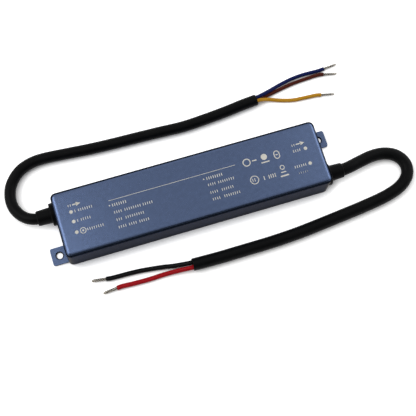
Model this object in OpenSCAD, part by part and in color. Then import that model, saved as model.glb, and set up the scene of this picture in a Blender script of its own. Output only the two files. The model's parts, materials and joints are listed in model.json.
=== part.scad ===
// Slim potted LED driver: a drawn aluminium case on a flat base with two diagonal ears.
// A mains lead and an output lead leave through moulded glands at opposite ends.
// Millimetres, Z up, the base stands on z = 0, X runs from the mains end to the output end.

/* [Case] */
// Length of the case, without ears and glands
case_length = 200; // [180:1:240]
// Width of the case
case_width = 49; // [44:0.5:60]
// Height of the case
case_height = 26.5; // [23.8:0.1:34]
// Wall thickness of the drawn case
wall = 1.5; // [1:0.1:1.8]
// Radius of the upright corners
corner_radius = 4; // [4:0.1:6]
// Radius where the top turns down into its bevel
top_edge_radius = 3; // [2.2:0.1:3.4]
// Slope of the bevel round the top, in degrees from level
bevel_slope = 34; // [25:1:38]
// Length of the bevel down its slope
bevel_length = 1.2; // [0.6:0.1:1.4]
// Radius of the edge between bevel and wall
bevel_edge_radius = 1.2; // [0.6:0.1:1.4]
// Radius of the outer rim at the bottom
rim_radius = 0.6; // [0.3:0.1:0.8]

/* [Base and ears] */
// Thickness of the base plate and its ears
plate_thickness = 1.5; // [1:0.1:1.8]
// How far an ear stands out beyond the end wall
ear_reach = 11.1; // [9.5:0.1:16]
// Width of an ear
ear_width = 13; // [11:0.5:15]
// Distance of an ear's middle from the long wall beside it
ear_inset = 9.3; // [8.5:0.1:12]
// Radius of an ear's outer corners
ear_corner_radius = 1.5; // [0.5:0.1:3]
// Diameter of the fixing hole in an ear
ear_hole_diameter = 4.8; // [4:0.1:6]
// Width of the chamfer round the fixing hole
ear_hole_chamfer = 0.7; // [0.2:0.1:0.9]
// Distance of the fixing hole from the end wall
ear_hole_reach = 5.1; // [4:0.1:5.6]
// Width of the sealant bead between base and case
seal_width = 0.6; // [0.4:0.1:0.9]

/* [Cable glands] */
// Distance of a gland's axis from the long wall beside it
gland_inset = 10.5; // [10.5:0.5:12]
// Height of a gland's axis above the base
gland_height = 8.8; // [8.8:0.1:12]
// Diameter of the gland's outer flange
gland_flange_diameter = 17; // [15:0.5:17.5]
// Thickness of the gland's outer flange
gland_flange_thickness = 3; // [2:0.1:4]
// Diameter of the sleeve at the flange
gland_root_diameter = 12; // [11.4:0.1:13.4]
// Diameter of the sleeve at its tip
gland_tip_diameter = 11.2; // [10.6:0.1:12]
// Reach of the gland beyond the end wall
gland_reach = 13.3; // [10:0.1:18]
// Diameter of the neck that passes the end wall
gland_neck_diameter = 10.8; // [10.6:0.1:11.2]
// Diameter of the lip behind the end wall
gland_lip_diameter = 12; // [11.6:0.1:12.6]
// Thickness of the lip behind the end wall
gland_lip_thickness = 2; // [1:0.1:3]

/* [Leads] */
// Diameter of the mains cable's jacket
mains_cable_diameter = 8.4; // [7.8:0.1:8.8]
// Diameter of the output cable's jacket
output_cable_diameter = 9.3; // [8.4:0.1:9.6]
// Diameter of a mains core's insulation
mains_core_diameter = 2.8; // [2:0.1:2.9]
// Diameter of an output core's insulation
output_core_diameter = 3.5; // [2.6:0.1:3.8]
// Diameter of a bared mains conductor
mains_strand_diameter = 1.5; // [0.8:0.1:1.8]
// Diameter of a bared output conductor
output_strand_diameter = 2.1; // [1.2:0.1:2.4]
// Length of the bared and tinned ends
bare_length = 10.5; // [6:0.5:14]

/* [Circuit board] */
// Thickness of the insulating sheet on the base
sheet_thickness = 0.4; // [0.2:0.1:0.5]
// Height of the spacers under the board
spacer_height = 2.6; // [2:0.1:3]
// Diameter of the spacers
spacer_diameter = 6; // [5:0.5:7]
// Thickness of the board
board_thickness = 1.6; // [1:0.1:1.8]
// Room between the board and an end wall
board_end_gap = 8.5; // [8:0.5:10]
// Room between the board and a long wall
board_side_gap = 1; // [0.5:0.1:1.4]

/* [Power parts] */
// Outer diameter of the common-mode choke's core
choke_diameter = 20; // [17:0.5:21]
// Height of the common-mode choke's core
choke_height = 9; // [7:0.5:11]
// Length of the boost inductor's core
boost_length = 27; // [24:0.5:29]
// Width of the boost inductor's core
boost_width = 25; // [22:0.5:26]
// Height of the boost inductor's core
boost_height = 15; // [13:0.5:16.5]
// Diameter of a reservoir capacitor
reservoir_diameter = 15; // [13:0.5:15.5]
// Length of a reservoir capacitor
reservoir_length = 30; // [25:1:32]
// Length of the transformer's core
transformer_length = 32; // [28:0.5:33]
// Width of the transformer's core
transformer_width = 26; // [23:0.5:27]
// Height of the transformer's core
transformer_height = 16; // [14:0.5:17]
// Diameter of an output capacitor
output_can_diameter = 10; // [8:0.5:10.5]
// Height of an output capacitor
output_can_height = 16; // [12:0.5:17]
// Thickness of the heat bars along the long walls
bar_thickness = 4; // [3:0.1:4.2]
// Room between the heat bars and the top of the case
bar_headroom = 2.9; // [2.5:0.1:4]
// Thickness of the thermal pads behind the heat bars
pad_thickness = 0.5; // [0.3:0.1:0.8]

/* [Hidden] */
$fn = 48;

// Colours
BLUE = [0.10, 0.14, 0.24];
METAL = [0.75, 0.76, 0.78];
BLACK = [0.03, 0.03, 0.03];
TIN = [0.72, 0.72, 0.70];
FERRITE = [0.12, 0.12, 0.13];
COPPER = [0.66, 0.33, 0.14];

// Small clearances and overlaps
over = 1;
slot_gap = 0.2;
bore_gap = 0.1;
edge = 0.5;
ease = 0.1;

// Straight stretches in each arc of the case's and the hollow's edges
arc_steps = 6;

// Case
inner_length = case_length - 2 * wall;
inner_width = case_width - 2 * wall;
ceiling = case_height - wall;
inner_corner = corner_radius - wall;
hollow_height = ceiling + over;
inner_edge = top_edge_radius - wall;
bevel_run =
    top_edge_radius * sin(bevel_slope)
    + bevel_length * cos(bevel_slope)
    + bevel_edge_radius * (1 - sin(bevel_slope));
bevel_drop =
    top_edge_radius * (1 - cos(bevel_slope))
    + bevel_length * sin(bevel_slope)
    + bevel_edge_radius * cos(bevel_slope);
end_x = case_length / 2;
ear_offset = case_width / 2 - ear_inset;
ear_root = 6;
gland_offset = case_width / 2 - gland_inset;
lip_limit = 2 * (inner_width / 2 - inner_corner - gland_offset);
lip_diameter = min(gland_lip_diameter, lip_limit);
plate_corner = max(inner_corner - seal_width, edge);

// Circuit board
sheet_margin = 0.8;
sheet_length = inner_length - 2 * sheet_margin;
sheet_width = inner_width - 2 * sheet_margin;
sheet_top = plate_thickness + sheet_thickness;
board_low = sheet_top + spacer_height;
board_top = board_low + board_thickness;
board_length = inner_length - 2 * board_end_gap;
board_width = inner_width - 2 * board_side_gap;
board_corner = 2;
mains_x = -board_length / 2;
output_x = board_length / 2;
back_y = inner_width / 2;
spacer_pin = 3;
spacer_inset_x = 4;
spacer_inset_y = 4.5;
barrier_length = 14;
barrier_width = 2;
barrier_corner = 0.9;

// Leads
jacket_inside = 6;
tail_bend = output_core_diameter / 2 + 2 * ease;
tail_reach = 3;
cable_sides = 12;
core_sides = 8;
floor_gap = 0.05;
core_stub = 2.5;

// Routes of the cables: x and y from the gland's centre on the end wall,
// then how far the axis is lifted from the floor (0) towards the gland's height (1)
mains_route = [
    [6, 0, 1], [-13, 0, 1], [-17, 1.1, 0.9], [-21, 3.5, 0.7], [-25, 8, 0.45], [-27.9, 14.5, 0.2],
    [-28.3, 22, 0.05], [-26.3, 29.4, 0], [-22.4, 35.3, 0], [-16.9, 40.2, 0], [-10.4, 43.2, 0],
    [-3, 44.7, 0], [5, 44.8, 0], [20, 43.7, 0], [38, 42.3, 0], [56, 41.5, 0], [74, 41, 0],
    [92, 40.4, 0], [110, 39.7, 0], [128, 40.7, 0], [146, 42.3, 0], [158, 43.8, 0], [169.5, 44.8, 0]
];
output_route = [
    [-6, 0, 1], [13, 0, 1], [20, 0.9, 0.85], [26, 2.3, 0.6], [32, 3.6, 0.4], [39, 4.8, 0.2],
    [46, 4.8, 0.05], [52, 3.4, 0], [57.1, 0.5, 0], [60.7, -4, 0], [62.2, -9.5, 0], [60.8, -15.6, 0],
    [56.6, -20.6, 0], [50.6, -24.2, 0], [43, -26.7, 0], [34, -28.6, 0], [19, -30.6, 0],
    [4, -32.2, 0], [-12, -33.8, 0], [-33, -35.7, 0], [-54, -36.6, 0], [-75, -36.7, 0],
    [-95, -36.7, 0], [-114.5, -36.2, 0]
];
// Routes of the cores: x and y from the jacket's cut end, then the height of the core's underside
brown_route = [
    [11.5, 2.1, 0.3], [21, 3.9, 0], [31, 5.6, 0], [42, 6.5, 0], [54.2, 6.9, 0], [57.2, 6.2, 0]
];
blue_route = [
    [11.5, 4.1, 2.4], [22.5, 7.4, 0.8], [32.5, 9.6, 0.1], [42, 10.4, 0], [54, 10.2, 0], [59, 10.6, 0]
];
earth_route = [
    [9.5, -1.8, 0.8], [18.5, -4.8, 0], [27.5, -7.2, 0], [36, -7.9, 0], [46.3, -8.5, 0], [50, -9.3, 0]
];
red_route = [
    [-10, -0.9, 1], [-22, -0.4, 0], [-33, -0.7, 0], [-45, -0.4, 0], [-53.8, 0.1, 0], [-57.3, -0.2, 0]
];
black_route = [
    [-13, 3.6, 0.5], [-21, 5.1, 0.2], [-29.5, 6.3, 0], [-37.5, 7.2, 0], [-46, 7.7, 0], [-59.4, 8.1, 0],
    [-63, 8.6, 0]
];
// Places of the cores in a cable's section: across and up from its axis
mains_lay = mains_core_diameter / sqrt(3) + ease;
output_lay = output_core_diameter / 2 + ease;
brown_seat = [0, -mains_lay];
blue_seat = [mains_lay * cos(30), mains_lay * sin(30)];
earth_seat = [-blue_seat[0], blue_seat[1]];
red_seat = [output_lay, 0];
black_seat = [-output_lay, 0];

function unit(v) = v / norm(v);
function heading(p, i) = unit(p[min(i + 1, len(p) - 1)] - p[max(i - 1, 0)]);
function side_of(t) = unit(cross([0, 0, 1], t));
function above(t) = cross(t, side_of(t));
function ring(c, t, r, n) = [
    for (k = [0 : n - 1]) c + r * (cos(360 * k / n) * side_of(t) + sin(360 * k / n) * above(t))
];
function laid(route, x, y, r) = [
    for (p = route) [x + p[0], y + p[1], r + floor_gap + p[2] * (gland_height - r - floor_gap)]
];
function core_start(path, seat) = let (n = len(path) - 1, t = heading(path, n))
    path[n] + seat[0] * side_of(t) + seat[1] * above(t);
function core_path(path, seat, route, r) = let (n = len(path) - 1, a = core_start(path, seat))
    concat(
        [a, a + core_stub * heading(path, n)],
        [for (p = route) [path[n][0] + p[0], path[n][1] + p[1], r + floor_gap + p[2]]]
    );

mains_path = laid(mains_route, -end_x, gland_offset, mains_cable_diameter / 2);
output_path = laid(output_route, end_x, -gland_offset, output_cable_diameter / 2);
brown_path = core_path(mains_path, brown_seat, brown_route, mains_core_diameter / 2);
blue_path = core_path(mains_path, blue_seat, blue_route, mains_core_diameter / 2);
earth_path = core_path(mains_path, earth_seat, earth_route, mains_core_diameter / 2);
red_path = core_path(output_path, red_seat, red_route, output_core_diameter / 2);
black_path = core_path(output_path, black_seat, black_route, output_core_diameter / 2);

// Places on the board: along from the nearer end, and in from the back or the front edge
edge_y = board_width / 2;
fuse_along = 10;
fuse_in = 9;
varistor_along = 8.5;
varistor_aside = 1;
thermistor_along = 8.5;
thermistor_in = 10;
filter_along = 22;
filter_in = 9;
choke_along = 26.5;
choke_in = 14;
boost_along = 53;
boost_in = 15;
reservoir_in = 17.5;
transformer_along = 45.5;
safety_along = 45.5;
safety_in = 4;
safety_pitch = 10;
control_along = 54;
control_in = 3.8;
opto_along = 27;
opto_in = 5;
opto_pitch = 8;
output_can_along = 8;
output_can_aside = 0.75;
output_can_pitch = [11.5, 10.5];
drum_along = 13.75;
drum_in = 6.2;
fuse_place = [mains_x + fuse_along, edge_y - fuse_in];
varistor_place = [mains_x + varistor_along, varistor_aside];
thermistor_place = [mains_x + thermistor_along, thermistor_in - edge_y];
filter_place = [mains_x + filter_along, filter_in - edge_y];
choke_place = [mains_x + choke_along, edge_y - choke_in];
boost_place = [mains_x + boost_along, edge_y - boost_in];
transformer_place = [output_x - transformer_along, 0];
control_place = [output_x - control_along, control_in - edge_y];
drum_place = [output_x - drum_along, drum_in - edge_y];
safety_places = [
    for (s = [-0.5, 0.5]) [output_x - safety_along + s * safety_pitch, edge_y - safety_in]
];
opto_places = [
    for (i = [0, 1]) [output_x - opto_along, opto_in + i * opto_pitch - edge_y]
];
output_can_places = [
    for (i = [0, 1], s = [-0.5, 0.5])
        [output_x - output_can_along - i * output_can_pitch[0], s * output_can_pitch[1] - output_can_aside]
];

// Input parts
fuse_diameter = 8.4;
fuse_height = 7.6;
disc_stand = 1.5;
disc_lead = 0.8;
varistor_diameter = 10;
varistor_thickness = 4.5;
thermistor_diameter = 9;
thermistor_thickness = 4;
filter_size = [18, 9, 14];
filter_corner = 1;

// Common-mode choke
choke_bore = choke_diameter / 2;
choke_coat = 1.4;
choke_sector = 140;
choke_base_height = 1.5;
choke_base_corner = 1.5;

// Devices on the heat bars
device_width = 10;
device_height = 13;
device_thickness = 4;
device_stand = 2;
device_lead = 0.8;
device_lead_pitch = 2.54;
device_hole_up = 9;
device_pitch = 12;
screw_diameter = 3;
screw_head_diameter = 5.4;
screw_head_height = 2;
screw_depth = 3;
bridge_width = 21;
bridge_height = 13;
bridge_thickness = 3.6;
bridge_hole_up = 8;
bridge_lead_pitch = 5;
bar_along = 32;
bar_margin = 2;
bar_height = ceiling - board_top - bar_headroom;
bar_face = back_y - pad_thickness - bar_thickness;
bar_start = mains_x + bar_along;
bridge_x = bar_start + bar_margin + bridge_width / 2;
first_transistor_x = bridge_x + bridge_width / 2 + bar_margin + device_width / 2;
transistor_x = [first_transistor_x, first_transistor_x + device_pitch];
bar_end = first_transistor_x + device_pitch + device_width / 2 + bar_margin;
rectifier_along = 12;
rectifier_x = [output_x - rectifier_along - device_pitch, output_x - rectifier_along];
output_bar_start = rectifier_x[0] - device_width / 2 - bar_margin;
output_bar_end = rectifier_x[1] + device_width / 2 + bar_margin;

// Boost inductor and transformer
core_back = 3.2;
core_leg = 3.4;
core_post_ratio = 0.42;
former_wall = 0.8;
winding_gap = 0.8;

// Reservoir capacitors, halfway between the boost inductor and the transformer
boost_end = boost_place[0] + boost_length / 2;
transformer_end = transformer_place[0] - transformer_length / 2;
reservoir_middle = [(boost_end + transformer_end) / 2, edge_y - reservoir_in];
reservoir_gap = 0.8;
reservoir_bead = 0.3;
can_groove_up = 3;
can_groove = 0.6;
can_groove_height = 1.2;

// Small parts by the transformer and on the output side
safety_diameter = 8;
safety_thickness = 4.2;
control_size = [26, 1, 13];
chip_size = [8, 1.5, 5];
chip_x = [-8, 2];
chip_up = 4;
opto_size = [4.6, 6.5, 3.5];
drum_diameter = 8;
drum_waist = 4;
drum_height = 10;
drum_flange = 1.5;
drum_coat = 0.6;

// Points along an arc about a centre, from one angle to another
function arc(centre, r, from, to) = [
    for (k = [0 : arc_steps])
        let (turn = from + (to - from) * k / arc_steps)
            centre + r * [cos(turn), sin(turn)]
];

// Section of the case's edge, from the wall's face inwards: rounded at the lower rim, bevelled at the top
module case_edge() {
    polygon(concat(
        [[-corner_radius, 0]],
        arc([-rim_radius, rim_radius], rim_radius, -90, 0),
        arc([-bevel_edge_radius, case_height - bevel_drop], bevel_edge_radius, 0, 90 - bevel_slope),
        arc([-bevel_run, case_height - top_edge_radius], top_edge_radius, 90 - bevel_slope, 90),
        [[-corner_radius, case_height]]
    ));
}

// Section of the hollow's edge, from the wall's face inwards: rounded at the top
module hollow_edge() {
    polygon(concat(
        [[-inner_corner, 0], [0, 0]],
        arc([-inner_edge, hollow_height - inner_edge], inner_edge, 0, 90),
        [[-inner_corner, hollow_height]]
    ));
}

// A box with round upright corners, as prisms and quarter turns of the edge section that is its child
module rounded_box(length, width, height, corner_r) {
    rotate([90, 0, 90]) linear_extrude(height = length - 2 * corner_r, center = true)
        whole_section(width, height, corner_r) children();
    rotate([90, 0, 0]) linear_extrude(height = width - 2 * corner_r, center = true)
        whole_section(length, height, corner_r) children();
    for (sx = [0, 1], sy = [0, 1]) {
        mirror([sx, 0, 0]) mirror([0, sy, 0])
            translate([length / 2 - corner_r, width / 2 - corner_r, 0])
                rotate_extrude(angle = 90) translate([corner_r, 0]) children();
    }
}

// A rectangle with an edge section on each side
module whole_section(width, height, corner_r) {
    translate([corner_r - width / 2, 0]) square([width - 2 * corner_r, height]);
    for (side = [0, 1]) {
        mirror([side, 0]) translate([width / 2, 0]) children();
    }
}

// A rectangle with round corners, centred
module rounded_rectangle(length, width, r) {
    square([length - 2 * r, width], center = true);
    square([length, width - 2 * r], center = true);
    for (sx = [-1, 1], sy = [-1, 1]) {
        translate([sx * (length / 2 - r), sy * (width / 2 - r)]) circle(r = r);
    }
}

module rounded_block(size, r) {
    linear_extrude(height = size[2]) rounded_rectangle(size[0], size[1], r);
}

// A swept tube of flat facets through the points of a path
module swept_tube(path, diameter, sides) {
    last = len(path) - 1;
    points = [for (i = [0 : last]) each ring(path[i], heading(path, i), diameter / 2, sides)];
    first_cap = [[for (k = [0 : sides - 1]) k]];
    last_cap = [[for (k = [sides - 1 : -1 : 0]) last * sides + k]];
    skin = [
        for (i = [0 : last - 1], k = [0 : sides - 1])
            let (a = i * sides + k, b = i * sides + (k + 1) % sides)
                each [[a, a + sides, b], [b, a + sides, b + sides]]
    ];
    polyhedron(points = points, faces = concat(first_cap, skin, last_cap), convexity = 6);
}

// Stands children on the end of a path, along its last stretch
module at_end_of(path) {
    last = len(path) - 1;
    t = heading(path, last);
    translate(path[last]) rotate([0, acos(t[2]), atan2(t[1], t[0])]) children();
}

module on_board(place) {
    translate([place[0], place[1], board_top]) children();
}

module at_output_end() {
    rotate([0, 0, 180]) children();
}

module cavity() {
    translate([0, 0, -over])
        rounded_box(inner_length, inner_width, hollow_height, inner_corner) hollow_edge();
}

module ear_outline() {
    translate([-end_x - ear_reach, -ear_offset - ear_width / 2]) {
        translate([ear_corner_radius, 0]) square([ear_reach + ear_root - ear_corner_radius, ear_width]);
        translate([0, ear_corner_radius]) square([ear_reach, ear_width - 2 * ear_corner_radius]);
        for (y = [ear_corner_radius, ear_width - ear_corner_radius]) {
            translate([ear_corner_radius, y]) circle(r = ear_corner_radius);
        }
    }
}

module ear_outlines() {
    ear_outline();
    rotate(180) ear_outline();
}

module plate_outline() {
    rounded_rectangle(inner_length - 2 * seal_width, inner_width - 2 * seal_width, plate_corner);
}

module end_openings() {
    translate([-end_x - over, gland_offset, gland_height])
        rotate([0, 90, 0]) cylinder(d = gland_neck_diameter + 2 * bore_gap, h = wall + 2 * over);
    translate([-end_x - over, -ear_offset - ear_width / 2 - slot_gap, -over])
        cube([over + corner_radius, ear_width + 2 * slot_gap, over + plate_thickness + slot_gap]);
}

module housing() {
    color(BLUE) difference() {
        rounded_box(case_length, case_width, case_height, corner_radius) case_edge();
        cavity();
        end_openings();
        at_output_end() end_openings();
    }
}

// A fixing hole with a chamfer at its upper rim
module ear_hole() {
    translate([0, 0, -over]) cylinder(d = ear_hole_diameter, h = plate_thickness + 2 * over);
    translate([0, 0, plate_thickness - ear_hole_chamfer])
        cylinder(
            d1 = ear_hole_diameter,
            d2 = ear_hole_diameter + 2 * (ear_hole_chamfer + over),
            h = ear_hole_chamfer + over
        );
}

module base_plate() {
    color(BLUE) difference() {
        linear_extrude(height = plate_thickness) {
            plate_outline();
            ear_outlines();
        }
        for (s = [-1, 1]) {
            translate([s * (end_x + ear_hole_reach), s * ear_offset, 0]) ear_hole();
        }
    }
}

module base_sealant() {
    color(METAL) linear_extrude(height = plate_thickness) difference() {
        rounded_rectangle(inner_length, inner_width, inner_corner);
        plate_outline();
        ear_outlines();
    }
}

module gland(cable_diameter) {
    bore = cable_diameter / 2 + bore_gap;
    translate([-end_x, gland_offset, gland_height]) rotate([0, -90, 0]) rotate_extrude() polygon([
        [bore, -wall - gland_lip_thickness],
        [lip_diameter / 2 - edge, -wall - gland_lip_thickness],
        [lip_diameter / 2, -wall],
        [gland_neck_diameter / 2, -wall],
        [gland_neck_diameter / 2, 0],
        [gland_flange_diameter / 2, 0],
        [gland_flange_diameter / 2, gland_flange_thickness - edge],
        [gland_flange_diameter / 2 - edge, gland_flange_thickness],
        [gland_root_diameter / 2, gland_flange_thickness],
        [gland_tip_diameter / 2, gland_reach - edge],
        [gland_tip_diameter / 2 - edge, gland_reach],
        [bore, gland_reach]
    ]);
}

module mains_gland() {
    color(BLACK) gland(mains_cable_diameter);
}

module output_gland() {
    color(BLACK) at_output_end() gland(output_cable_diameter);
}

module mains_cable() {
    color(BLACK) swept_tube(mains_path, mains_cable_diameter, cable_sides);
}

module output_cable() {
    color(BLACK) swept_tube(output_path, output_cable_diameter, cable_sides);
}

module brown_core() {
    color([0.24, 0.09, 0.05]) swept_tube(brown_path, mains_core_diameter, core_sides);
}

module blue_core() {
    color([0.05, 0.12, 0.32]) swept_tube(blue_path, mains_core_diameter, core_sides);
}

module earth_core() {
    color([0.68, 0.42, 0.06]) swept_tube(earth_path, mains_core_diameter, core_sides);
}

module red_core() {
    color([0.55, 0.03, 0.04]) swept_tube(red_path, output_core_diameter, core_sides);
}

module black_core() {
    color(BLACK) swept_tube(black_path, output_core_diameter, core_sides);
}

module brown_strands() {
    color(TIN) at_end_of(brown_path) cylinder(d = mains_strand_diameter, h = bare_length);
}

module blue_strands() {
    color(TIN) at_end_of(blue_path) cylinder(d = mains_strand_diameter, h = bare_length);
}

module earth_strands() {
    color(TIN) at_end_of(earth_path) cylinder(d = mains_strand_diameter, h = bare_length);
}

module red_strands() {
    color(TIN) at_end_of(red_path) cylinder(d = output_strand_diameter, h = bare_length);
}

module black_strands() {
    color(TIN) at_end_of(black_path) cylinder(d = output_strand_diameter, h = bare_length);
}

module insulating_sheet() {
    color([0.85, 0.85, 0.8]) translate([0, 0, plate_thickness])
        rounded_block([sheet_length, sheet_width, sheet_thickness], plate_corner);
}

module at_spacers() {
    for (sx = [-1, 1], sy = [-1, 1]) {
        translate([sx * (board_length / 2 - spacer_inset_x), sy * (board_width / 2 - spacer_inset_y), 0])
            children();
    }
}

module board_spacers() {
    color([0.9, 0.9, 0.86]) translate([0, 0, sheet_top]) at_spacers() {
        cylinder(d = spacer_diameter, h = spacer_height);
        cylinder(d = spacer_pin, h = spacer_height + board_thickness);
    }
}

module board_block() {
    translate([0, 0, board_low]) rounded_block([board_length, board_width, board_thickness], board_corner);
}

module circuit_board() {
    color([0.05, 0.25, 0.12]) difference() {
        board_block();
        translate([0, 0, board_low - over])
            at_spacers() cylinder(d = spacer_pin + 2 * bore_gap, h = board_thickness + 2 * over);
        translate([transformer_place[0], transformer_place[1], board_low - over])
            rounded_block([barrier_width, barrier_length, board_thickness + 2 * over], barrier_corner);
    }
}

// An insulated tail from a cable's cut end, bent down onto the board
module tail(from, to_x, diameter) {
    bend_x = to_x - tail_bend;
    drop = from[2] - tail_bend - board_top;
    translate(from) rotate([0, 90, 0]) cylinder(d = diameter, h = bend_x - from[0]);
    translate([bend_x, from[1], from[2] - tail_bend]) rotate([90, 0, 0])
        rotate_extrude(angle = 90) translate([tail_bend, 0]) circle(d = diameter);
    translate([to_x, from[1], board_top]) cylinder(d = diameter, h = drop);
}

module mains_tails() {
    color([0.4, 0.25, 0.15]) for (i = [-1, 0, 1]) {
        y = gland_offset + i * (mains_core_diameter + ease);
        tail([-end_x + jacket_inside, y, gland_height], mains_x + tail_reach, mains_core_diameter);
    }
}

module output_tails() {
    color([0.4, 0.05, 0.05]) at_output_end() for (i = [-0.5, 0.5]) {
        y = gland_offset + i * (output_core_diameter + ease);
        tail([-end_x + jacket_inside, y, gland_height], mains_x + tail_reach, output_core_diameter);
    }
}

module fuse() {
    color([0.35, 0.2, 0.1]) on_board(fuse_place) cylinder(d = fuse_diameter, h = fuse_height);
}

// A coated disc on two leads; its flat faces look along X
module disc_part(place, diameter, thickness) {
    on_board(place) {
        translate([0, 0, disc_stand + diameter / 2]) rotate([0, 90, 0])
            cylinder(d = diameter, h = thickness, center = true);
        for (s = [-1, 1]) {
            translate([0, s * diameter / 4, 0]) cylinder(d = disc_lead, h = disc_stand + diameter / 4);
        }
    }
}

module varistor() {
    color([0.05, 0.15, 0.4]) disc_part(varistor_place, varistor_diameter, varistor_thickness);
}

module inrush_thermistor() {
    color([0.08, 0.2, 0.12]) disc_part(thermistor_place, thermistor_diameter, thermistor_thickness);
}

module filter_capacitor() {
    color([0.75, 0.6, 0.15]) on_board(filter_place) rounded_block(filter_size, filter_corner);
}

module choke_base() {
    base = choke_diameter + 2 * choke_coat;
    color(BLACK) on_board(choke_place)
        rounded_block([base, base, choke_base_height], choke_base_corner);
}

module choke_core() {
    color(FERRITE) on_board(choke_place) translate([0, 0, choke_base_height + choke_coat])
        rotate_extrude() translate([choke_bore / 2, 0])
            square([(choke_diameter - choke_bore) / 2, choke_height]);
}

module choke_windings() {
    core_width = (choke_diameter - choke_bore) / 2;
    color(COPPER) on_board(choke_place) translate([0, 0, choke_base_height]) for (turn = [0, 180]) {
        rotate([0, 0, turn - choke_sector / 2]) rotate_extrude(angle = choke_sector) difference() {
            translate([choke_bore / 2 - choke_coat, 0])
                square([core_width + 2 * choke_coat, choke_height + 2 * choke_coat]);
            translate([choke_bore / 2, choke_coat]) square([core_width, choke_height]);
        }
    }
}

// Devices stand on the board with their backs on a heat bar; local y runs out from the bar's face
module at_primary_bar(x) {
    translate([x, -bar_face, board_top]) children();
}

module at_output_bar(x) {
    translate([x, bar_face, board_top]) rotate([0, 0, 180]) children();
}

// A moulded package on its leads, with a hole for its screw
module package(width, height, thickness, hole_up, lead_places) {
    difference() {
        union() {
            translate([-width / 2, 0, device_stand]) cube([width, thickness, height]);
            for (x = lead_places) {
                translate([x - device_lead / 2, thickness / 2, 0])
                    cube([device_lead, device_lead, device_stand + over]);
            }
        }
        translate([0, -over, device_stand + hole_up]) rotate([-90, 0, 0])
            cylinder(d = screw_diameter + 2 * bore_gap, h = thickness + 2 * over);
    }
}

module device() {
    leads = [for (i = [-1, 0, 1]) i * device_lead_pitch];
    package(device_width, device_height, device_thickness, device_hole_up, leads);
}

module primary_transistors() {
    color(BLACK) for (x = transistor_x) {
        at_primary_bar(x) device();
    }
}

module output_rectifiers() {
    color(BLACK) for (x = rectifier_x) {
        at_output_bar(x) device();
    }
}

module bridge_rectifier() {
    leads = [for (i = [-1.5, -0.5, 0.5, 1.5]) i * bridge_lead_pitch];
    color(BLACK) at_primary_bar(bridge_x)
        package(bridge_width, bridge_height, bridge_thickness, bridge_hole_up, leads);
}

module screw(up, grip) {
    translate([0, -screw_depth, up]) rotate([-90, 0, 0]) {
        cylinder(d = screw_diameter, h = screw_depth + grip);
        translate([0, 0, screw_depth + grip]) cylinder(d = screw_head_diameter, h = screw_head_height);
    }
}

module device_screws() {
    color(METAL) {
        for (x = transistor_x) {
            at_primary_bar(x) screw(device_stand + device_hole_up, device_thickness);
        }
        at_primary_bar(bridge_x) screw(device_stand + bridge_hole_up, bridge_thickness);
        for (x = rectifier_x) {
            at_output_bar(x) screw(device_stand + device_hole_up, device_thickness);
        }
    }
}

// A heat bar from x = a to x = b, tapped for the screws; local y runs out from its face
module bar_block(a, b) {
    translate([a, -bar_thickness, 0]) cube([b - a, bar_thickness, bar_height]);
}

module screw_hole(up) {
    translate([0, -screw_depth, up]) rotate([-90, 0, 0])
        cylinder(d = screw_diameter, h = screw_depth + over);
}

module primary_bar() {
    color(METAL) difference() {
        at_primary_bar(0) bar_block(bar_start, bar_end);
        for (x = transistor_x) {
            at_primary_bar(x) screw_hole(device_stand + device_hole_up);
        }
        at_primary_bar(bridge_x) screw_hole(device_stand + bridge_hole_up);
    }
}

module output_bar() {
    color(METAL) difference() {
        at_output_bar(0) bar_block(-output_bar_end, -output_bar_start);
        for (x = rectifier_x) {
            at_output_bar(x) screw_hole(device_stand + device_hole_up);
        }
    }
}

module primary_pad() {
    color([0.5, 0.6, 0.7]) translate([bar_start, -back_y, board_top])
        cube([bar_end - bar_start, pad_thickness, bar_height]);
}

module output_pad() {
    color([0.5, 0.6, 0.7]) translate([output_bar_start, back_y - pad_thickness, board_top])
        cube([output_bar_end - output_bar_start, pad_thickness, bar_height]);
}

// A closed ferrite core with a round middle post and open long sides, as two halves that meet halfway up
module power_core(length, width, height) {
    post = core_post_ratio * length;
    for (top = [0, 1]) {
        translate([0, 0, top * height]) mirror([0, 0, top]) {
            translate([-length / 2, -width / 2, 0]) cube([length, width, core_back]);
            for (s = [-1, 1]) {
                translate([s * (length - core_leg) / 2, 0, height / 4])
                    cube([core_leg, width, height / 2], center = true);
            }
            cylinder(d = post, h = height / 2);
        }
    }
}

// The bobbin: a thin spool round the post, between the core's two backs
module power_former(length, width, height) {
    post = core_post_ratio * length / 2 + ease;
    reach = length / 2 - core_leg - winding_gap;
    window = height - 2 * core_back;
    translate([0, 0, core_back]) rotate_extrude() polygon([
        [post, 0],
        [reach, 0],
        [reach, former_wall],
        [post + former_wall, former_wall],
        [post + former_wall, window - former_wall],
        [reach, window - former_wall],
        [reach, window],
        [post, window]
    ]);
}

module power_winding(length, width, height) {
    inner = core_post_ratio * length / 2 + ease + former_wall;
    outer = length / 2 - core_leg - 1.5 * winding_gap;
    window = height - 2 * core_back - 2 * former_wall;
    translate([0, 0, core_back + former_wall]) rotate_extrude()
        translate([inner, 0]) square([outer - inner, window]);
}

module boost_core() {
    color(FERRITE) on_board(boost_place) power_core(boost_length, boost_width, boost_height);
}

module boost_former() {
    color([0.8, 0.78, 0.7]) on_board(boost_place) power_former(boost_length, boost_width, boost_height);
}

module boost_winding() {
    color(COPPER) on_board(boost_place) power_winding(boost_length, boost_width, boost_height);
}

module transformer_core() {
    color(FERRITE) on_board(transformer_place)
        power_core(transformer_length, transformer_width, transformer_height);
}

module transformer_former() {
    color([0.8, 0.78, 0.7]) on_board(transformer_place)
        power_former(transformer_length, transformer_width, transformer_height);
}

module transformer_winding() {
    color(COPPER) on_board(transformer_place)
        power_winding(transformer_length, transformer_width, transformer_height);
}

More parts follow.
